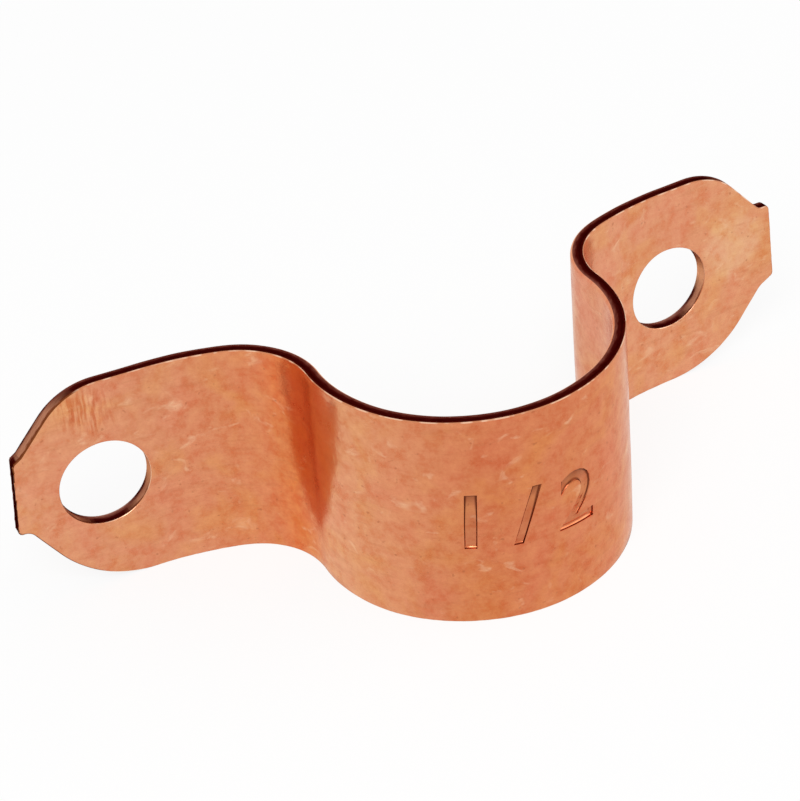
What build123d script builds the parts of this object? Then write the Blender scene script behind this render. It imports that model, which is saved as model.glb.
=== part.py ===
from build123d import *

import math
import os

# Two-hole strap for a small copper tube, cut and bent from one strip of sheet.
# The origin is on the tube's axis at the middle of the strip's width. +Z runs along the
# tube, the arch bulges towards -Y, and the ears lie on the +Y side, at the wall. Lengths
# are in millimetres, angles in degrees. Both sides are bent alike and differ only in
# where the screw hole is, so each function makes the right side.

# Strip
STRIP_WIDTH = 12.7
SHEET_THICKNESS = 0.75

# Arch round the tube
ARCH_INSIDE_DIAMETER = 16.0
ARCH_HALF_ANGLE = 93.8

# Reverse bend from arch to ear: a tight part, then a wide part that runs out flat
BEND_INSIDE_RADIUS = 4.3
RUNOUT_INSIDE_RADIUS = 16.6
RUNOUT_ANGLE = 15.6
EAR_TILT = 3.4

# Ear: each side runs straight for a little, turns in round a corner and slopes to the tab.
# The lower corner takes half the strip's width and the upper one is rounded tighter.
LOWER_STRAIGHT = 0.35
LOWER_CORNER_ANGLE = 55.0
UPPER_STRAIGHT = 1.85
UPPER_ROUND_RADIUS = 4.0
UPPER_CORNER_ANGLE = 48.0

# Stub of the carrier tab, above the strip's middle and parted a little off square. Its
# upper side is the shorter one and ends this far past both roots.
TAB_WIDTH = 4.7
TAB_RISE = 0.6
TAB_REACH = 0.1
TAB_BLEND_RADIUS = 0.6
TAB_END_SKEW = 3.7

# Screw holes on the strip's middle line, each placed from where its ear begins to run flat
HOLE_DIAMETER = 5.1
LEFT_HOLE_REACH = 2.5
RIGHT_HOLE_REACH = 0.2

# Sheared edges: the strip is rolled over on its wall side, the holes on the front
EDGE_ROLL_RADIUS = 0.2
HOLE_ROLL_RADIUS = 0.06

ARCH_OUTSIDE_RADIUS = ARCH_INSIDE_DIAMETER / 2 + SHEET_THICKNESS
LOWER_ROUND_RADIUS = STRIP_WIDTH / 2
TOLERANCE = 0.001


def heading(angle):
    """Unit vector in plan at this angle from +X."""
    return Vector(math.cos(math.radians(angle)), math.sin(math.radians(angle)))


def tight_centre():
    """Centre of the tight part of the reverse bend."""
    return heading(ARCH_HALF_ANGLE - 90) * (ARCH_OUTSIDE_RADIUS + BEND_INSIDE_RADIUS)


def runout_centre():
    """Centre of the wide part, on the line through the bend's change of radius."""
    growth = RUNOUT_INSIDE_RADIUS - BEND_INSIDE_RADIUS
    return tight_centre() + heading(EAR_TILT + RUNOUT_ANGLE - 90) * growth


def ear_start():
    """Point on the front face where the ear begins to run flat."""
    return runout_centre() + heading(EAR_TILT + 90) * RUNOUT_INSIDE_RADIUS


def arc(centre, radius, first, last):
    """Arc about a centre from the first angle to the last."""
    points = [centre + heading(angle) * radius for angle in (first, (first + last) / 2, last)]
    return Edge.make_three_point_arc(*points)


def bend_line(depth):
    """Line of the bent part in plan, at this depth behind the front face."""
    bend_change = EAR_TILT + RUNOUT_ANGLE + 90
    return [
        arc(Vector(0, 0), ARCH_OUTSIDE_RADIUS - depth, -90, ARCH_HALF_ANGLE - 90),
        arc(tight_centre(), BEND_INSIDE_RADIUS + depth, ARCH_HALF_ANGLE + 90, bend_change),
        arc(runout_centre(), RUNOUT_INSIDE_RADIUS + depth, bend_change, EAR_TILT + 90),
    ]


def ear_line(depth):
    """Line of the flat ear in plan, at this depth behind the front face."""
    start = ear_start() + heading(EAR_TILT + 90) * depth
    return Edge.make_line(start, start + heading(EAR_TILT) * STRIP_WIDTH)


def bent_strip():
    """Strip from the arch's middle to where the ear begins to run flat."""
    front = bend_line(0)
    wall = bend_line(SHEET_THICKNESS)
    ends = [Edge.make_line(front[0] @ 0, wall[0] @ 0), Edge.make_line(front[-1] @ 1, wall[-1] @ 1)]
    section = Face(Wire(front + wall + ends))
    return extrude(section, STRIP_WIDTH / 2, dir=(0, 0, 1), both=True)


def ear_plane():
    """Front face of the ear: x runs out along the ear, y up from the strip's middle."""
    return Plane(origin=ear_start(), x_dir=heading(EAR_TILT), z_dir=heading(EAR_TILT - 90))


def shoulder(side, straight, radius, angle, tab_side):
    """Sharp corner of the ear's side, sharp root of the tab, and how far the round root runs."""
    slope = math.radians(angle)
    corner = Vector(straight + radius * math.tan(slope / 2), side)
    root = Vector(corner.X + abs(side - tab_side) / math.tan(slope), tab_side)
    return corner, root, root.X + TAB_BLEND_RADIUS * math.tan(slope / 2)


def ear_outline():
    """Outline of the flat ear in its plane, with its rounded corners and the tab."""
    side = STRIP_WIDTH / 2
    bottom = TAB_RISE - TAB_WIDTH / 2
    top = TAB_RISE + TAB_WIDTH / 2
    lower = (-side, LOWER_STRAIGHT, LOWER_ROUND_RADIUS, LOWER_CORNER_ANGLE, bottom)
    upper = (side, UPPER_STRAIGHT, UPPER_ROUND_RADIUS, UPPER_CORNER_ANGLE, top)
    lower_corner, lower_root, lower_blend_end = shoulder(*lower)
    upper_corner, upper_root, upper_blend_end = shoulder(*upper)
    reach = max(lower_blend_end, upper_blend_end) + TAB_REACH
    skew = math.tan(math.radians(TAB_END_SKEW)) * TAB_WIDTH
    tab = [lower_root, (reach + skew, bottom), (reach, top), upper_root]
    points = [(0, side), (0, -side), lower_corner, *tab, upper_corner]
    outline = make_face(Polyline(*points, close=True))
    rounds = [
        (lower_corner, LOWER_ROUND_RADIUS),
        (upper_corner, UPPER_ROUND_RADIUS),
        (lower_root, TAB_BLEND_RADIUS),
        (upper_root, TAB_BLEND_RADIUS),
    ]
    for corner, radius in rounds:
        outline = fillet(outline.vertices().sort_by_distance(corner)[0], radius)
    return outline


def ear():
    """Flat ear, one sheet thick."""
    return extrude(ear_plane() * ear_outline(), SHEET_THICKNESS, dir=-ear_plane().z_dir)


def punch(reach):
    """Round punch that pierces the ear square to its face, at this reach along it."""
    return ear_plane() * Pos(reach) * Cylinder(HOLE_DIAMETER / 2, 8 * SHEET_THICKNESS)


def turns_a_corner(edge, faces):
    """True where the faces that meet in an edge are not in line with each other."""
    meeting = [face for face in faces if any(edge.is_same(other) for other in face.edges())]
    first, last = [face.normal_at(edge @ 0.5) for face in (meeting[0], meeting[-1])]
    return first.cross(last).length > 0.1


def folded(point):
    """A point in plan, brought over to the right side if it lies on the left."""
    return Vector(abs(point.X), point.Y, 0)


def is_over(face_line, point):
    """True for a point that stands over a line of the right side's plan or its mirror image."""
    return face_line.distance_to(Vertex(folded(point))) < 5 * TOLERANCE


def is_tab_end(edge):
    """True for an edge across the end of a tab, the only sharp ones that stand upright."""
    return abs((edge % 0.5).Z) > 0.99


def is_rim(edge):
    """True for an edge that runs round a screw hole."""
    point = edge @ 0.5
    hole_reach = RIGHT_HOLE_REACH if point.X > 0 else LEFT_HOLE_REACH
    offset = ear_plane().to_local_coords(folded(point)).X - hole_reach
    return abs(math.hypot(offset, point.Z) - HOLE_DIAMETER / 2) < 5 * TOLERANCE


def sheared_edges(body, depth):
    """Sharp edges at this depth, but not those across the end of a tab."""
    face_line = Wire(bend_line(depth) + [ear_line(depth)])
    sharp = [edge for edge in body.edges() if turns_a_corner(edge, body.faces())]
    on_face = [edge for edge in sharp if all(is_over(face_line, edge @ t) for t in (0.2, 0.5, 0.8))]
    return [edge for edge in on_face if not is_tab_end(edge)]


def right_side(hole_reach):
    """Right side of the strap, with its screw hole at this reach."""
    return bent_strip() + ear() - punch(hole_reach)


def pipe_strap():
    """The whole strap: the right side and a mirrored left one, then the rolled edges."""
    left_side = right_side(LEFT_HOLE_REACH).mirror(Plane.YZ)
    body = right_side(RIGHT_HOLE_REACH) + left_side
    wall_edges = [edge for edge in sheared_edges(body, SHEET_THICKNESS) if not is_rim(edge)]
    body = fillet(wall_edges, EDGE_ROLL_RADIUS)
    rims = [edge for edge in sheared_edges(body, 0) if is_rim(edge)]
    return fillet(rims, HOLE_ROLL_RADIUS)


strap = pipe_strap()
strap.label = "pipe_strap"
os.makedirs("parts", exist_ok=True)
export_step(strap, "parts/pipe_strap.step")
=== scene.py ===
import math

import bmesh
import bpy
from mathutils import Matrix, Vector


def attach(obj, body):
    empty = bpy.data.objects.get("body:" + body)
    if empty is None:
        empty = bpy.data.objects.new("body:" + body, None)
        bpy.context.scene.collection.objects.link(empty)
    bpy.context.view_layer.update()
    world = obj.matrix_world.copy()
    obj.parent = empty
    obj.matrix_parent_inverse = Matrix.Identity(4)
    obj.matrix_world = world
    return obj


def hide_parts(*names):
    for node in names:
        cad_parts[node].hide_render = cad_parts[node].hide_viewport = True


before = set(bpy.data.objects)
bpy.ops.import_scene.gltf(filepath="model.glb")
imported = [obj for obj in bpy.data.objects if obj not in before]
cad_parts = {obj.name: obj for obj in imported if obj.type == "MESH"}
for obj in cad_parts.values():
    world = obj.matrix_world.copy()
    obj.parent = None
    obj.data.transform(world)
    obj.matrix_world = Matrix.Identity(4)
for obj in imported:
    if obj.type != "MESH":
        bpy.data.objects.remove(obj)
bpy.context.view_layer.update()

# A strap for a small copper tube, made as the press makes it: a flat blank is cut from
# half-hard copper sheet, pierced and marked, then bent. The blank lies with its length
# along X, its front face towards -Y and its width along Z, and is drawn in millimetres.
MM = 0.001

# Sheet and strip
WIDTH = 12.7
THICKNESS = 0.75
FRONT = -THICKNESS / 2
WALL_SIDE = THICKNESS / 2

# Middle line of the bends, from the arch's middle out to an ear: radius and turn of each
ARCH_BEND = (8.375, 93.8)
TIGHT_BEND = (4.675, -74.8)
RUNOUT_BEND = (16.975, -15.6)
EAR_RUN = 9.0

# Outline of each ear from its lower side round the tab's stub to its upper side: how far
# each corner lies from where the ear begins to run flat, its height and its rounding
LEFT_EAR = [
    (3.57, -6.35, 6.3),
    (6.93, -1.7, 0.7),
    (7.59, -1.7, 0.25),
    (7.28, 2.9, 0.25),
    (6.93, 3.14, 0.4),
    (4.24, 6.35, 4.2),
]
RIGHT_EAR = [
    (3.38, -6.35, 6.3),
    (6.66, -2.3, 1.1),
    (7.59, -1.8, 0.3),
    (7.29, 2.95, 0.3),
    (6.6, 2.95, 0.5),
    (3.53, 6.35, 4.0),
]
TAB_REACH = 7.44

# The left ear's upper corner was cut askew, so on the front its outline lies further in.
LEFT_EAR_FRONT = LEFT_EAR[:3] + [(7.28, 2.75, 0.25), (6.79, 3.08, 0.4), (4.03, 6.35, 4.1)]

# Screw holes, placed from where the ear begins to run flat
HOLE_RADIUS = 2.55
LEFT_HOLE_REACH = 2.5
RIGHT_HOLE_REACH = 0.2

# Sheared edges
EDGE_ROLL = 0.2
FRONT_BREAK = 0.05
HOLE_ROLL = 0.05

# The left tab was torn off the carrier and the right one cut nearly clean.
TEAR_REACH = 0.25
LEFT_TEAR = 0.03
RIGHT_TEAR = 0.012

# Size mark pressed into the front of the arch: it slopes and leans in degrees, and covers
# less than its reach around its place
MARK = "1/2"
MARK_HEIGHT = 3.3
MARK_DEPTH = 0.15
MARK_PLACE = (-1.05, -0.2)
MARK_SLOPE = 2.5
MARK_LEAN = 1.5
MARK_REACH = 5.5

# Height and length of the waves in the handled sheet
WAVE_HEIGHT = 0.05
WAVE_LENGTH = 3.5

# How finely the blank is cut before it is bent, along it, across it and at which depths
BEND_STEP = 0.3
WIDTH_STEP = 0.6
DEPTH_CUTS = (-0.2, -0.03, 0.12)


def bend_length(bend):
    """Length of the strip's middle line in a bend."""
    radius, turn = bend
    return radius * math.radians(abs(turn))


FLAT_START = sum(bend_length(bend) for bend in (ARCH_BEND, TIGHT_BEND, RUNOUT_BEND))
TAB_END = FLAT_START + TAB_REACH
HALF_LINE = FLAT_START + EAR_RUN


def work_on(piece):
    """Makes a piece the only one selected."""
    bpy.ops.object.select_all(action="DESELECT")
    piece.select_set(True)
    bpy.context.view_layer.objects.active = piece


def pick(piece, kind, fits):
    """Selects the vertices, edges or faces that fit, in edit mode."""
    bpy.ops.mesh.select_mode(type=kind)
    bpy.ops.mesh.select_all(action="DESELECT")
    shape = bmesh.from_edit_mesh(piece.data)
    for item in {"VERT": shape.verts, "EDGE": shape.edges, "FACE": shape.faces}[kind]:
        if fits(item):
            item.select_set(True)
    bmesh.update_edit_mesh(piece.data)


def apply(piece, kind, **settings):
    """Adds a modifier and applies it."""
    modifier = piece.modifiers.new(kind.title(), kind)
    for name, value in settings.items():
        setattr(modifier, name, value)
    work_on(piece)
    bpy.ops.object.modifier_apply(modifier=modifier.name)


def arc(centre, radius, first, last):
    """Bezier pieces of an arc from one angle to another: each has its start, handles and end."""
    count = math.ceil(abs(last - first) / 30)
    step = math.radians(last - first) / count
    reach = radius * 4 / 3 * math.tan(step / 4)
    pieces = []
    for index in range(count):
        ends = []
        for angle in (math.radians(first) + step * index, math.radians(first) + step * (index + 1)):
            spoke = Vector((math.cos(angle), math.sin(angle)))
            ends.append((Vector(centre) + spoke * radius, Vector((-spoke.y, spoke.x)) * reach))
        (start, away), (end, onward) = ends
        pieces.append((start, start + away, end - onward, end))
    return pieces


def run(start, end):
    """Bezier piece of a straight run."""
    start, end = Vector(start), Vector(end)
    return [(start, start.lerp(end, 1 / 3), start.lerp(end, 2 / 3), end)]


def drawn_line(name, pieces, upright, closed, resolution):
    """Curve through Bezier pieces, drawn in plan or upright in the XZ plane."""
    curve = bpy.data.curves.new(name, "CURVE")
    curve.dimensions = "3D" if upright else "2D"
    curve.fill_mode = "FULL" if upright else "NONE"
    spline = curve.splines.new("BEZIER")
    spline.resolution_u = resolution
    spline.use_cyclic_u = closed
    spline.bezier_points.add(len(pieces) - (1 if closed else 0))
    for index, point in enumerate(spline.bezier_points):
        before = pieces[index - 1]
        after = pieces[index % len(pieces)]
        ends = {"co": after[0], "handle_left": before[2], "handle_right": after[1]}
        if not closed and index == 0:
            ends["handle_left"] = 2 * after[0] - after[1]
        if not closed and index == len(pieces):
            ends = {"co": before[3], "handle_left": before[2], "handle_right": 2 * before[3] - before[2]}
        point.handle_left_type = point.handle_right_type = "FREE"
        for place, at in ends.items():
            setattr(point, place, (at.x, 0, at.y) if upright else (at.x, at.y, 0))
    line = bpy.data.objects.new(name, curve)
    bpy.context.scene.collection.objects.link(line)
    return line


def rounded_line(corners):
    """Closed line through corners, each a place in the sheet and a radius, counterclockwise."""
    pieces = []
    corners = [(Vector((x, z)), radius) for x, z, radius in corners]
    for index, (corner, radius) in enumerate(corners):
        ahead = (corners[(index + 1) % len(corners)][0] - corner).normalized()
        behind = (corners[index - 1][0] - corner).normalized()
        turn = math.copysign(math.pi - ahead.angle(behind), behind.cross(ahead) * -1)
        setback = radius * math.tan(abs(turn) / 2)
        inward = Vector((-ahead.y, ahead.x)) * math.copysign(radius, turn)
        centre = corner + ahead * setback + inward
        last = math.atan2(-inward.y, -inward.x)
        bend = arc(centre, radius, math.degrees(last - turn), math.degrees(last))
        if pieces:
            pieces += run(pieces[-1][3], bend[0][0])
        pieces += bend
    return pieces + run(pieces[-1][3], pieces[0][0])


def outline_at(name, left_ear, depth):
    """Outline of the flat blank at a depth in the sheet: two ears joined by straight sides."""
    right = [(FLAT_START + along, height, radius) for along, height, radius in RIGHT_EAR]
    left = [(-FLAT_START - along, height, radius) for along, height, radius in reversed(left_ear)]
    outline = drawn_line(name, rounded_line(right + left), upright=True, closed=True, resolution=9)
    outline.location.y = depth
    work_on(outline)
    bpy.ops.object.convert(target="MESH")
    bpy.ops.object.transform_apply(location=True, rotation=True, scale=True)
    return outline


def mirrored(pieces):
    """The same pieces on the left side, in the order that keeps the line running on."""
    other_side = []
    for piece in reversed(pieces):
        other_side.append(tuple(Vector((-point.x, point.y)) for point in reversed(piece)))
    return other_side


def cut_blank():
    """Flat blank: its outlines on the front and the wall side are bridged and filled."""
    wall_outline = outline_at("wall_outline", LEFT_EAR, WALL_SIDE)
    blank = outline_at("strap", LEFT_EAR_FRONT, FRONT)
    wall_outline.select_set(True)
    bpy.ops.object.join()
    bpy.ops.object.mode_set(mode="EDIT")
    bpy.ops.mesh.select_all(action="SELECT")
    bpy.ops.mesh.bridge_edge_loops()
    for depth in (FRONT, WALL_SIDE):
        pick(blank, "EDGE", lambda edge: lies_on(edge, depth))
        bpy.ops.mesh.edge_face_add()
    bpy.ops.mesh.select_all(action="SELECT")
    bpy.ops.mesh.normals_make_consistent(inside=False)
    bpy.ops.object.mode_set(mode="OBJECT")
    return blank


def lies_on(edge, depth):
    """True for an edge in the face at this depth."""
    return all(abs(vertex.co.y - depth) < 0.001 for vertex in edge.verts)


def is_corner(edge):
    """True for an edge between a wide face and a sheared one."""
    return len(edge.link_faces) == 2 and edge.calc_face_angle(0) > 1


def round_edges(piece, fits, size, segments):
    """Rounds the edges that fit."""
    work_on(piece)
    bpy.ops.object.mode_set(mode="EDIT")
    pick(piece, "EDGE", fits)
    bpy.ops.mesh.bevel(
        offset=size, segments=segments, profile=0.5, affect="EDGES", clamp_overlap=False, loop_slide=False
    )
    bpy.ops.object.mode_set(mode="OBJECT")


def cut_out(piece, cutter):
    """Cuts one shape out of a piece and takes the cutter away."""
    apply(piece, "BOOLEAN", operation="DIFFERENCE", object=cutter, solver="EXACT")
    bpy.data.objects.remove(cutter)


def pierce(blank, place):
    """Screw hole, with the rim on the front rolled in by the punch."""
    bpy.ops.object.select_all(action="DESELECT")
    bpy.ops.mesh.primitive_cylinder_add(
        vertices=72, radius=HOLE_RADIUS, depth=4, location=(place, 0, 0), rotation=(math.pi / 2, 0, 0)
    )
    cut_out(blank, bpy.context.object)

    def is_rim(edge):
        near = all(abs(math.hypot(v.co.x - place, v.co.z) - HOLE_RADIUS) < 0.01 for v in edge.verts)
        return near and lies_on(edge, FRONT) and is_corner(edge)

    round_edges(blank, is_rim, HOLE_ROLL, 3)


def press_mark(blank):
    """Size mark: figures with rounded grooves, struck a little deeper along their feet."""
    bpy.ops.object.select_all(action="DESELECT")
    bpy.ops.object.text_add(
        location=(MARK_PLACE[0], FRONT, MARK_PLACE[1]),
        rotation=(math.radians(90 + MARK_LEAN), math.radians(MARK_SLOPE), 0),
    )
    mark = bpy.context.object
    figures = mark.data
    figures.body = MARK
    figures.align_x = "CENTER"
    figures.align_y = "CENTER"
    figures.size = MARK_HEIGHT / 0.7
    figures.space_character = 1.45
    figures.resolution_u = 5
    figures.bevel_depth = MARK_DEPTH
    figures.bevel_resolution = 2
    figures.offset = -0.05
    bpy.ops.object.convert(target="MESH")
    bpy.ops.object.transform_apply(location=True, rotation=True, scale=True)
    bpy.ops.object.mode_set(mode="EDIT")
    bpy.ops.mesh.select_all(action="SELECT")
    bpy.ops.mesh.remove_doubles(threshold=0.001)
    bpy.ops.mesh.normals_make_consistent(inside=False)
    bpy.ops.object.mode_set(mode="OBJECT")
    cut_out(blank, mark)


def steps(first, last, size):
    """Even steps between two places, without the ends."""
    count = math.ceil((last - first) / size)
    return [first + (last - first) * index / count for index in range(1, count)]


def divide(blank):
    """Cuts the blank's faces finely enough to bend and to carry the small unevenness."""
    work_on(blank)
    bpy.ops.object.mode_set(mode="EDIT")
    cuts = [((x, 0, 0), (1, 0, 0)) for x in steps(-TAB_END, TAB_END, BEND_STEP)]
    cuts += [((0, 0, z), (0, 0, 1)) for z in steps(-WIDTH / 2, WIDTH / 2, WIDTH_STEP)]
    cuts += [((0, y, 0), (0, 1, 0)) for y in DEPTH_CUTS]
    for place, normal in cuts:
        bpy.ops.mesh.select_all(action="SELECT")
        bpy.ops.mesh.bisect(plane_co=place, plane_no=normal, threshold=0.0001)
    bpy.ops.mesh.select_all(action="SELECT")
    bpy.ops.mesh.remove_doubles(threshold=0.0005)
    bpy.ops.mesh.dissolve_degenerate(threshold=0.0005)
    bpy.ops.object.mode_set(mode="OBJECT")


def tear_tab_ends(blank):
    """Tab ends, broken from the carrier and so a little ragged."""
    work_on(blank)
    bpy.ops.object.mode_set(mode="EDIT")
    pick(blank, "VERT", lambda vertex: vertex.co.x < -TAB_END + TEAR_REACH)
    bpy.ops.transform.vertex_random(offset=LEFT_TEAR, uniform=0.6, normal=0.0, seed=7)
    pick(blank, "VERT", lambda vertex: vertex.co.x > TAB_END - TEAR_REACH)
    bpy.ops.transform.vertex_random(offset=RIGHT_TEAR, uniform=0.6, normal=0.0, seed=3)
    bpy.ops.object.mode_set(mode="OBJECT")


def note_flat_place(blank):
    """Keeps each point's place on the flat blank, in millimetres, for the finish to follow."""
    places = blank.data.attributes.new("flat_place", "FLOAT_VECTOR", "POINT")
    for vertex, place in zip(blank.data.vertices, places.data):
        place.vector = vertex.co


def middle_line():
    """Middle line of the bent strap in plan, from the left end to the right one."""
    heading = 0
    place = Vector((0, -ARCH_BEND[0]))
    pieces = []
    for radius, turn in (ARCH_BEND, TIGHT_BEND, RUNOUT_BEND):
        side = math.copysign(1, turn)
        spoke = Vector((math.sin(math.radians(heading)), -math.cos(math.radians(heading)))) * side
        centre = place - spoke * radius
        first = math.degrees(math.atan2(spoke.y, spoke.x))
        pieces += arc(centre, radius, first, first + turn)
        place = pieces[-1][3]
        heading += turn
    ahead = Vector((math.cos(math.radians(heading)), math.sin(math.radians(heading))))
    pieces += run(place, place + ahead * EAR_RUN)
    return mirrored(pieces) + pieces


def bend_to_shape(blank):
    """Bends the blank over the middle line."""
    line = drawn_line("bends", middle_line(), upright=False, closed=False, resolution=64)
    work_on(blank)
    bpy.ops.object.mode_set(mode="EDIT")
    bpy.ops.mesh.select_all(action="SELECT")
    bpy.ops.transform.translate(value=(HALF_LINE, 0, 0))
    bpy.ops.object.mode_set(mode="OBJECT")
    apply(blank, "CURVE", object=line, deform_axis="POS_X")
    bpy.data.objects.remove(line)


def handle_marks(blank):
    """Slight waviness that tumbling and handling leave in soft copper."""
    waves = bpy.data.textures.new("handling", "CLOUDS")
    waves.noise_scale = WAVE_LENGTH
    waves.noise_depth = 1
    apply(blank, "DISPLACE", texture=waves, strength=WAVE_HEIGHT, mid_level=0.5, texture_coords="LOCAL")


def finish_mesh(blank):
    """Brings the strap to metres and smooths its shading up to the sharp edges."""
    blank.scale = (MM, MM, MM)
    work_on(blank)
    bpy.ops.object.transform_apply(location=True, rotation=True, scale=True)
    bpy.ops.object.shade_smooth_by_angle(angle=math.radians(32))
    apply(blank, "WEIGHTED_NORMAL", keep_sharp=True, weight=60)


# Sizes of the copper's patterns on the flat blank, all over or along, through and across
PATCH_SIZE = 3.0
MOTTLE_SIZE = 0.7
RAGGED_SIZE = 1.5
# The pale curling streaks are painted highlights.
HIGHLIGHT_CURL_SIZE = (1.3, 1.0, 0.85)
DRAG_SIZE = (2.4, 1.0, 0.35)
PIT_SIZE = 0.32
GRAIN_SIZE = (3.0, 1.0, 0.14)
TEAR_SIZE = (0.45, 0.11, 0.45)
# Dashes of painted highlight along the front arris
HIGHLIGHT_DASH_SIZE = (0.8, 50.0, 50.0)

# Scuffs under the left ear's upper corner and a paler patch behind the right hole
SCUFF_PLACE = (-27.4, FRONT, 4.8)
SCUFF_SIZE = (0.22, 1.0, 1.2)
PALE_PATCH_PLACE = (29.2, FRONT, 1.2)

# Tone of the sheet from the left tab to the right one, with painted reflections in it: deepest on the
# arch's front, a deep orange in the left reverse bend and a pale painted highlight on the arch's left
# shoulder
COPPER_AND_REFLECTION_TONES = [
    (0.0, "#DE9670"),
    (0.13, "#D98F69"),
    (0.22, "#DA865B"),
    (0.25, "#DE7F4A"),
    (0.31, "#E29E75"),
    (0.45, "#D27C53"),
    (0.62, "#DC8860"),
    (0.72, "#DF9674"),
    (1.0, "#DE966C"),
]

# Tone of the sheared edges from the front face to the wall side, painted as shade: nearly black where an
# edge faces up or down, half shaded where it is half turned up
SLIT_SHADE_TONES = [(0.0, "#54180F"), (0.3, "#380704"), (0.55, "#4C1612"), (0.8, "#845044"), (1.0, "#AC7C6C")]
CUT_HALF_SHADE_TONES = [(0.0, "#5A2410"), (0.12, "#7A4028"), (0.25, "#B88064"), (0.6, "#A87058"), (0.8, "#4C201A")]
# Painted highlight on sheared edges that face sideways, as on the side of a hole
SIDE_HIGHLIGHT_TONE = "#E6A880"


def linear(code):
    """Linear colour of an sRGB hex value."""
    parts = [int(code[place:place + 2], 16) / 255 for place in (1, 3, 5)]
    return [part / 12.92 if part <= 0.04045 else ((part + 0.055) / 1.055) ** 2.4 for part in parts] + [1]


def per_size(size):
    """Scale along each axis that gives a pattern its sizes in millimetres."""
    return tuple(1 / along for along in size)


def add_node(tree, kind, inputs, stops=(), **settings):
    """Adds a node with its settings, links and colour stops, and gives its outputs. An input
    is a value, or another node's output. A stop is a place and an sRGB colour."""
    node = tree.nodes.new("ShaderNode" + kind)
    for name, value in settings.items():
        setattr(node, name, value)
    for socket, value in inputs.items():
        if isinstance(value, bpy.types.NodeSocket):
            tree.links.new(value, node.inputs[socket])
        else:
            node.inputs[socket].default_value = value
    for index, (place, colour) in enumerate(stops):
        elements = node.color_ramp.elements
        element = elements[index] if index < len(elements) else elements.new(1.0)
        element.position = place
        element.color = linear(colour)
    return node.outputs


def new_finish(name):
    """Empty material and its node tree."""
    finish = bpy.data.materials.new(name)
    finish.use_nodes = True
    finish.node_tree.nodes.clear()
    return finish, finish.node_tree


def flat_place(tree):
    """Place on the flat blank in millimetres, and its parts along, through and across."""
    flat = add_node(tree, "Attribute", {}, attribute_name="flat_place")["Vector"]
    return flat, add_node(tree, "SeparateXYZ", {"Vector": flat})


def near(tree, flat, place, reach, fade):
    """Share that is full near a place on the blank and fades out raggedly past its reach."""
    cloud = add_node(tree, "TexNoise", {"Vector": flat, "Scale": 1 / RAGGED_SIZE, "Detail": 3.0})["Fac"]
    away = add_node(tree, "VectorMath", {0: flat, 1: place}, operation="DISTANCE")["Value"]
    ragged = add_node(tree, "Math", {0: cloud, 1: 2.0, 2: away}, operation="MULTIPLY_ADD")[0]
    span = {"Value": ragged, "From Min": reach + 1 + fade, "From Max": reach + 1}
    return add_node(tree, "MapRange", span)["Result"]


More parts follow.
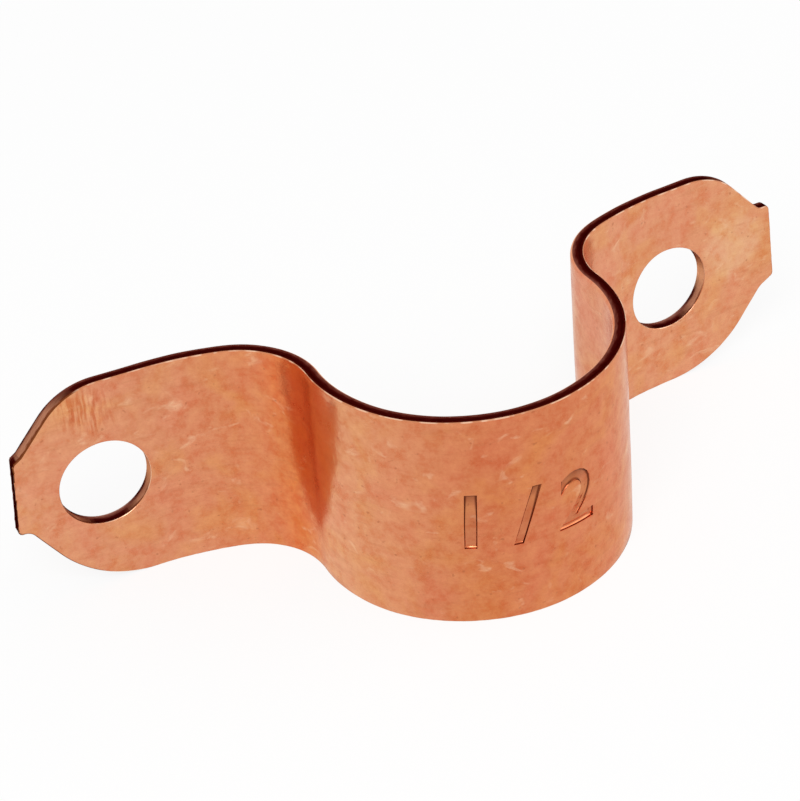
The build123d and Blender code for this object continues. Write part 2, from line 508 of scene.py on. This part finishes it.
def rolled_copper():
    """Half-hard copper sheet, cold rolled and tumbled: satin, warm, mottled by a thin oxide, with painted
    reflections along the strip, painted highlights in pale streaks and painted shade in the mark's grooves.
    """
    finish, tree = new_finish("rolled_copper")
    flat, parts = flat_place(tree)
    in_front = add_node(tree, "Math", {0: parts["Y"], 1: 0.0}, operation="LESS_THAN")[0]

    # The tone runs along the strip and wanders a little at random. It carries painted reflections: it is
    # deepest on the arch's front and palest on the ears, with a deep orange in the left reverse bend and a
    # pale painted highlight on the arch's left shoulder.
    drift = add_node(tree, "TexNoise", {"Vector": flat, "Scale": 1 / PATCH_SIZE, "Detail": 2.0})["Fac"]
    drifted = add_node(tree, "Math", {0: drift, 1: 3.0, 2: parts["X"]}, operation="MULTIPLY_ADD")[0]
    span = {"Value": drifted, "From Min": 1.5 - TAB_END, "From Max": 1.5 + TAB_END}
    along = add_node(tree, "MapRange", span)["Result"]
    base = add_node(tree, "ValToRGB", {"Fac": along}, COPPER_AND_REFLECTION_TONES)["Color"]

    # A paler patch lies behind the right hole.
    pale_patch = near(tree, flat, PALE_PATCH_PLACE, 1.6, 0.8)
    pale_patch_in_front = add_node(tree, "Math", {0: pale_patch, 1: in_front}, operation="MULTIPLY")[0]
    paled = add_node(tree, "Math", {0: pale_patch_in_front, 1: 0.5}, operation="MULTIPLY")[0]

    # Thin oxide lies in patches that lean towards yellow or pink, over a finer mottle.
    cloud = {"Vector": flat, "Scale": 1 / PATCH_SIZE, "Detail": 4.0, "Distortion": 0.6}
    patches = add_node(tree, "TexNoise", cloud)["Fac"]
    tints = [(0.34, "#BDBFAE"), (0.5, "#BCBCBC"), (0.66, "#BFB6BC")]
    tint = add_node(tree, "ValToRGB", {"Fac": patches}, tints)["Color"]
    cloud = {"Vector": flat, "Scale": 1 / MOTTLE_SIZE, "Detail": 5.0, "Roughness": 0.65}
    mottle = add_node(tree, "TexNoise", cloud)["Fac"]
    shades = [(0.32, "#A69B95"), (0.5, "#BCBCBC"), (0.68, "#CECECB")]
    shade = add_node(tree, "ValToRGB", {"Fac": mottle}, shades)["Color"]

    # Rolling leaves faint lines along the sheet. The real ones are finer than the eye sees
    # here, so they are drawn coarser.
    stretched = add_node(tree, "Mapping", {"Vector": flat, "Scale": per_size(GRAIN_SIZE)})["Vector"]
    grain = add_node(tree, "TexNoise", {"Vector": stretched, "Scale": 1.0, "Detail": 2.0})["Fac"]
    line_tones = [(0.35, "#BBBAB9"), (0.5, "#BCBCBC"), (0.65, "#BDBDBD")]
    lines = add_node(tree, "ValToRGB", {"Fac": grain}, line_tones)["Color"]

    # Tumbling leaves darker drags and tiny pits. The pale curling streaks are painted highlights, as of
    # light caught in small waves of the sheet, and are also raised slightly in the bump.
    stretched = add_node(tree, "Mapping", {"Vector": flat, "Scale": per_size(DRAG_SIZE)})["Vector"]
    cloud = {"Vector": stretched, "Scale": 1.0, "Detail": 3.0, "Distortion": 0.3}
    drags = add_node(tree, "TexNoise", cloud)["Fac"]
    span = {"Value": drags, "From Min": 0.4, "From Max": 0.3, "To Max": 0.14}
    dragged = add_node(tree, "MapRange", span)["Result"]
    stretched = add_node(tree, "Mapping", {"Vector": flat, "Scale": per_size(HIGHLIGHT_CURL_SIZE)})["Vector"]
    cloud = {"Vector": stretched, "Scale": 1.0, "Detail": 3.0, "Distortion": 0.8}
    highlight_curls = add_node(tree, "TexNoise", cloud)["Fac"]
    span = {"Value": highlight_curls, "From Min": 0.62, "From Max": 0.8, "To Max": 0.5}
    curl_highlight = add_node(tree, "MapRange", span)["Result"]
    pits = add_node(tree, "TexNoise", {"Vector": flat, "Scale": 1 / PIT_SIZE, "Detail": 1.0})["Fac"]
    span = {"Value": pits, "From Min": 0.7, "From Max": 0.78, "To Max": 0.4}
    pitted = add_node(tree, "MapRange", span)["Result"]

    # Scuffs stand across the left ear, under its upper corner.
    stretched = add_node(tree, "Mapping", {"Vector": flat, "Scale": per_size(SCUFF_SIZE)})["Vector"]
    scuffs = add_node(tree, "TexNoise", {"Vector": stretched, "Scale": 1.0, "Detail": 1.0})["Fac"]
    scuff_tones = [(0.4, "#9A908A"), (0.5, "#BCBCBC"), (0.6, "#D6D2CE")]
    scuff = add_node(tree, "ValToRGB", {"Fac": scuffs}, scuff_tones)["Color"]
    scraped = near(tree, flat, SCUFF_PLACE, 0.9, 1.0)
    scuffed = add_node(tree, "Math", {0: scraped, 1: in_front}, operation="MULTIPLY")[0]

    # The steep sides of the mark's grooves are painted darker as shade in the grooves, their floors less.
    span = {"Value": parts["Y"], "From Min": FRONT + 0.01, "From Max": FRONT + 0.05, "To Max": 0.9}
    side = add_node(tree, "MapRange", span)["Result"]
    span = {"Value": parts["Y"], "From Min": FRONT + 0.09, "From Max": FRONT + 0.12, "To Max": -0.75}
    lighter_floor = add_node(tree, "MapRange", span)["Result"]
    groove = add_node(tree, "Math", {0: side, 1: lighter_floor}, operation="ADD")[0]
    groove_shade = add_node(tree, "Math", {0: groove, 1: in_front}, operation="MULTIPLY")[0]

    layers = [
        ("MIX", paled, linear("#E9B48C")),
        ("SOFT_LIGHT", 1.0, tint),
        ("SOFT_LIGHT", 1.0, shade),
        ("SOFT_LIGHT", 1.0, lines),
        ("MIX", dragged, linear("#B5683F")),
        # pale curling streaks: painted highlights
        ("MIX", curl_highlight, linear("#F6CCA6")),
        ("MIX", pitted, linear("#A25A38")),
        ("SOFT_LIGHT", scuffed, scuff),
        # painted shade in the mark's grooves
        ("MIX", groove_shade, linear("#5A2010")),
    ]
    for blend, amount, over in layers:
        layer = {0: amount, 6: base, 7: over}
        base = add_node(tree, "Mix", layer, data_type="RGBA", blend_type=blend)[2]

    # The mottle is a little duller where it is darker, and all of it stands out very slightly.
    span = {"Value": mottle, "From Min": 0.3, "From Max": 0.7, "To Min": 0.28, "To Max": 0.18}
    dull = add_node(tree, "MapRange", span)["Result"]
    uneven = add_node(tree, "Math", {0: grain, 1: 0.07, 2: mottle}, operation="MULTIPLY_ADD")[0]
    height = add_node(tree, "Math", {0: highlight_curls, 1: uneven}, operation="ADD")[0]
    bump = add_node(tree, "Bump", {"Height": height, "Strength": 0.4, "Distance": 0.00003})["Normal"]
    metal = {"Metallic": 1.0, "Base Color": base, "Specular Tint": linear("#F8ECE2")}
    metal.update({"Roughness": dull, "Normal": bump})
    surface = add_node(tree, "BsdfPrincipled", metal)["BSDF"]
    add_node(tree, "OutputMaterial", {"Surface": surface})
    return finish


def sheared_copper():
    """Sheared edge of the sheet: torn grain, toned by which way it faces as painted shade and
    painted highlight: nearly black where the strip was cut lengthwise and looks up, half shaded
    where the press cut the ears, and a painted highlight on the side of a hole."""
    finish, tree = new_finish("sheared_copper")
    flat, parts = flat_place(tree)
    stretched = add_node(tree, "Mapping", {"Vector": flat, "Scale": per_size(TEAR_SIZE)})["Vector"]
    grain = add_node(tree, "TexNoise", {"Vector": stretched, "Scale": 1.0, "Detail": 4.0})["Fac"]
    uneven = add_node(tree, "Math", {0: grain, 1: 0.3, 2: parts["Y"]}, operation="MULTIPLY_ADD")[0]
    span = {"Value": uneven, "From Min": FRONT + 0.15, "From Max": WALL_SIDE + 0.15}
    depth = add_node(tree, "MapRange", span)["Result"]
    half_shade_tone = add_node(tree, "ValToRGB", {"Fac": depth}, CUT_HALF_SHADE_TONES)["Color"]
    upward_shade_tone = add_node(tree, "ValToRGB", {"Fac": depth}, SLIT_SHADE_TONES)["Color"]

    # An edge that looks up or down, cut lengthwise with the strip, is painted nearly black as shade; one
    # half turned up is half shaded, and one that faces sideways keeps the painted highlight. The tabs' ends
    # were torn and take the dark tones too.
    facing = add_node(tree, "NewGeometry", {})["Normal"]
    upwards = add_node(tree, "SeparateXYZ", {"Vector": facing})["Z"]
    upright = add_node(tree, "Math", {0: upwards}, operation="ABSOLUTE")[0]
    reach = add_node(tree, "Math", {0: parts["X"]}, operation="ABSOLUTE")[0]
    span = {"Value": upright, "From Min": 0.1, "From Max": 0.5}
    half_shaded = add_node(tree, "MapRange", span)["Result"]
    span = {"Value": upright, "From Min": 0.72, "From Max": 0.95}
    upward_shade = add_node(tree, "MapRange", span)["Result"]
    span = {"Value": reach, "From Min": TAB_END - 0.5, "From Max": TAB_END - 0.35}
    torn = add_node(tree, "MapRange", span)["Result"]
    dark = add_node(tree, "Math", {0: upward_shade, 1: torn}, operation="MAXIMUM")[0]
    base = linear(SIDE_HIGHLIGHT_TONE)
    for amount, over in ((half_shaded, half_shade_tone), (dark, upward_shade_tone)):
        base = add_node(tree, "Mix", {0: amount, 6: base, 7: over}, data_type="RGBA")[2]

    bump = add_node(tree, "Bump", {"Height": grain, "Strength": 0.6, "Distance": 0.00008})["Normal"]
    metal = {"Metallic": 1.0, "Base Color": base, "Specular Tint": linear("#7A3828")}
    metal.update({"Roughness": 0.5, "Normal": bump})
    surface = add_node(tree, "BsdfPrincipled", metal)["BSDF"]
    add_node(tree, "OutputMaterial", {"Surface": surface})
    return finish


def arris_highlight_copper():
    """Front arris of the sheet, with a painted highlight along it, in places only in dashes."""
    finish, tree = new_finish("arris_highlight_copper")
    flat, parts = flat_place(tree)
    stretched = add_node(tree, "Mapping", {"Vector": flat, "Scale": per_size(HIGHLIGHT_DASH_SIZE)})["Vector"]
    highlight_dashes = add_node(tree, "TexNoise", {"Vector": stretched, "Scale": 1.0, "Detail": 2.0})["Fac"]
    tones = [(0.46, "#CE8660"), (0.56, "#EDBC9C")]
    bright = add_node(tree, "ValToRGB", {"Fac": highlight_dashes}, tones)["Color"]

    # Round the left ear's end the arris is painted dark, without the highlight.
    span = {"Value": parts["X"], "From Min": -FLAT_START - 3.0, "From Max": -FLAT_START - 3.6}
    dark_end = add_node(tree, "MapRange", span)["Result"]
    base = add_node(tree, "Mix", {0: dark_end, 6: bright, 7: linear("#7A4020")}, data_type="RGBA")[2]
    metal = {"Metallic": 1.0, "Base Color": base, "Roughness": 0.3}
    surface = add_node(tree, "BsdfPrincipled", metal)["BSDF"]
    add_node(tree, "OutputMaterial", {"Surface": surface})
    return finish


def is_pressed(face):
    """True for a face in the pressed mark."""
    return math.hypot(face.center.x - MARK_PLACE[0], face.center.z - MARK_PLACE[1]) < MARK_REACH


def is_sheared(face):
    """True for a face that was cut through the sheet, before the roll of the wall side."""
    along = abs(face.center.x) - FLAT_START
    in_hole = along < LEFT_HOLE_REACH + HOLE_RADIUS + 0.15 and abs(face.center.z) < HOLE_RADIUS + 0.1
    on_ear_end = along > 3.5
    last = WALL_SIDE if in_hole else WALL_SIDE - EDGE_ROLL * (0.4 if on_ear_end else 0.6)
    return abs(face.normal.y) < 0.6 and face.center.y < last + 0.02 and not is_pressed(face)


def is_front_arris(face):
    """True for a face of the front arris."""
    on_arris = 0.2 < abs(face.normal.y) < 0.96 and face.center.y < FRONT + FRONT_BREAK
    return on_arris and not is_pressed(face)


def give_finishes(blank):
    """Satin copper all over, torn grain on what the press sheared, and a painted highlight on the front
    arris.
    """
    for finish in (rolled_copper(), sheared_copper(), arris_highlight_copper()):
        blank.data.materials.append(finish)
    for face in blank.data.polygons:
        if is_front_arris(face):
            face.material_index = 2
        elif is_sheared(face):
            face.material_index = 1


def pipe_strap():
    """The whole strap."""
    strap = cut_blank()
    round_edges(strap, lambda edge: lies_on(edge, WALL_SIDE) and is_corner(edge), EDGE_ROLL, 4)
    round_edges(strap, lambda edge: lies_on(edge, FRONT) and is_corner(edge), FRONT_BREAK, 2)
    pierce(strap, -FLAT_START - LEFT_HOLE_REACH)
    pierce(strap, FLAT_START + RIGHT_HOLE_REACH)
    press_mark(strap)
    divide(strap)
    tear_tab_ends(strap)
    note_flat_place(strap)
    give_finishes(strap)
    bend_to_shape(strap)
    handle_marks(strap)
    finish_mesh(strap)
    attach(strap, "root")
    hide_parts("pipe_strap")


# The photograph's camera: its place in metres, its angles in degrees and its lens
CAMERA_PLACE = Vector((-0.05825, -0.11858, 0.09188))
CAMERA_AZIMUTH = -24.677
CAMERA_ELEVATION = 34.215
CAMERA_ROLL = -4.827
FOCAL_LENGTH = 134.95


def camera():
    """Camera at the photograph's place."""
    azimuth, elevation, roll = [math.radians(a) for a in (CAMERA_AZIMUTH, CAMERA_ELEVATION, CAMERA_ROLL)]
    right = Vector((math.cos(azimuth), math.sin(azimuth), 0))
    level_back = Vector((math.sin(azimuth), -math.cos(azimuth), 0))
    back = level_back * math.cos(elevation) + Vector((0, 0, math.sin(elevation)))
    up = back.cross(right)
    turned_right = right * math.cos(roll) + up * math.sin(roll)
    turned_up = up * math.cos(roll) - right * math.sin(roll)
    bpy.ops.object.camera_add()
    view = bpy.context.object
    turn = Matrix((turned_right, turned_up, back)).transposed()
    view.matrix_world = Matrix.Translation(CAMERA_PLACE) @ turn.to_4x4()
    view.data.sensor_fit = "HORIZONTAL"
    view.data.sensor_width = 36
    view.data.lens = FOCAL_LENGTH
    view.data.clip_start = 0.01
    bpy.context.scene.camera = view


def soft_lamp(name, place, size, power):
    """Square soft lamp that faces the strap."""
    place = Vector(place)
    bpy.ops.object.light_add(type="AREA", location=place, rotation=place.to_track_quat("Z", "Y").to_euler())
    lamp = bpy.context.object
    lamp.name = name
    lamp.data.shape = "SQUARE"
    lamp.data.size = size
    lamp.data.energy = power


def seen_directly(tree):
    """One for what the camera sees, itself or in metal or glass, and none for other light."""
    path = add_node(tree, "LightPath", {})
    seen = path["Is Camera Ray"]
    for other in ("Is Glossy Ray", "Is Transmission Ray"):
        seen = add_node(tree, "Math", {0: seen, 1: path[other]}, operation="MAXIMUM")[0]
    return seen


def floor():
    """Pale floor under the strap's lower edge."""
    bpy.ops.object.select_all(action="DESELECT")
    bpy.ops.mesh.primitive_plane_add(size=3, location=(0, 0, -WIDTH / 2 * MM))
    sheet = bpy.context.object
    sheet.name = "floor"
    bpy.ops.object.transform_apply(location=True, rotation=True, scale=True)
    finish, tree = new_finish("white_card")
    card = add_node(tree, "BsdfDiffuse", {"Color": linear("#F4F4F4")})["BSDF"]
    glow = add_node(tree, "Emission", {"Color": linear("#FFFFFF"), "Strength": 1.0})["Emission"]
    share = add_node(tree, "Math", {0: seen_directly(tree), 1: 0.85}, operation="MULTIPLY")[0]
    both = add_node(tree, "MixShader", {0: share, 1: card, 2: glow})["Shader"]
    add_node(tree, "OutputMaterial", {"Surface": both})
    sheet.data.materials.append(finish)


def studio():
    """White surroundings, soft lamps and the camera."""
    world = bpy.data.worlds.new("studio")
    bpy.context.scene.world = world
    world.use_nodes = True
    tree = world.node_tree
    tree.nodes.clear()
    span = {"Value": seen_directly(tree), "To Min": 0.55, "To Max": 1.0}
    level = add_node(tree, "MapRange", span)["Result"]
    surround = add_node(tree, "Background", {"Color": linear("#FFFFFF"), "Strength": level})["Background"]
    add_node(tree, "OutputWorld", {"Surface": surround})
    soft_lamp("key", (-0.25, -0.35, 0.45), 0.35, 2.2)
    soft_lamp("fill", (0.45, -0.2, 0.3), 0.5, 1.0)
    camera()
    bpy.context.scene.view_settings.view_transform = "Standard"


pipe_strap()
floor()
studio()
